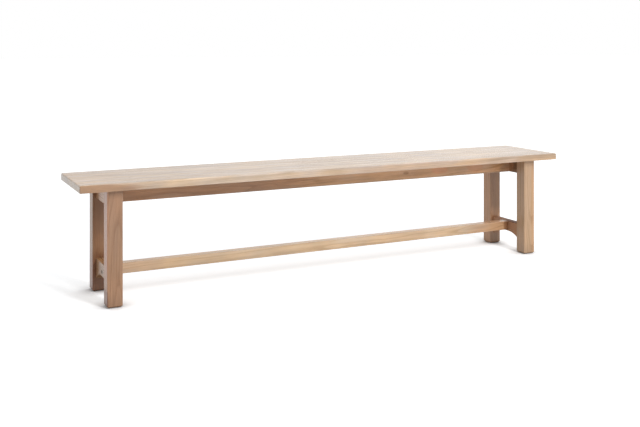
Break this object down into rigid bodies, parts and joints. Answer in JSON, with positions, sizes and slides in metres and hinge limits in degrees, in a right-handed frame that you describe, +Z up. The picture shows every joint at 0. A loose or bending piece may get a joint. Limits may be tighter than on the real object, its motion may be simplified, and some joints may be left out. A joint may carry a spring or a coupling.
{
  "type": "dining bench",
  "caption": "Long plain oak dining bench: thick flat seat on four square legs, with end rails, a beam under the seat and a low stretcher.",
  "frame": {"origin": "on the floor, under the middle of the seat", "axes": "+X along the seat, +Y across it towards the back, +Z up"},
  "size_m": [2.166, 0.368, 0.457],
  "materials": {
    "seat_oak": "pale oak, matt oiled",
    "frame_oak": "pale oak, matt oiled",
    "beech": "bare beech dowel",
    "dark_bolt_steel": "bronzed steel",
    "zinc_steel": "bright zinc plate",
    "nylon": "moulded nylon, brown"
  },
  "bodies": {
    "root": {"barrel_nuts": "zinc_steel", "beam_dowels": "beech", "beam_screws": "zinc_steel", "foot_glide_left_back": "nylon", "foot_glide_left_front": "nylon", "foot_glide_right_back": "nylon", "foot_glide_right_front": "nylon", "glide_screws": "zinc_steel", "leg_left_back": "frame_oak", "leg_left_front": "frame_oak", "leg_right_back": "frame_oak", "leg_right_front": "frame_oak", "lower_rail_left": "frame_oak", "lower_rail_right": "frame_oak", "seat_beam": "frame_oak", "seat_bolt_washers": "zinc_steel", "seat_bolts": "zinc_steel", "seat_inserts": "zinc_steel", "seat_stave_1": "seat_oak", "seat_stave_2": "seat_oak", "seat_stave_3": "seat_oak", "seat_stave_4": "seat_oak", "stretcher": "frame_oak", "stretcher_bolts": "dark_bolt_steel", "stretcher_dowels": "beech", "upper_rail_left": "frame_oak", "upper_rail_right": "frame_oak"}
  },
  "joints": []
}
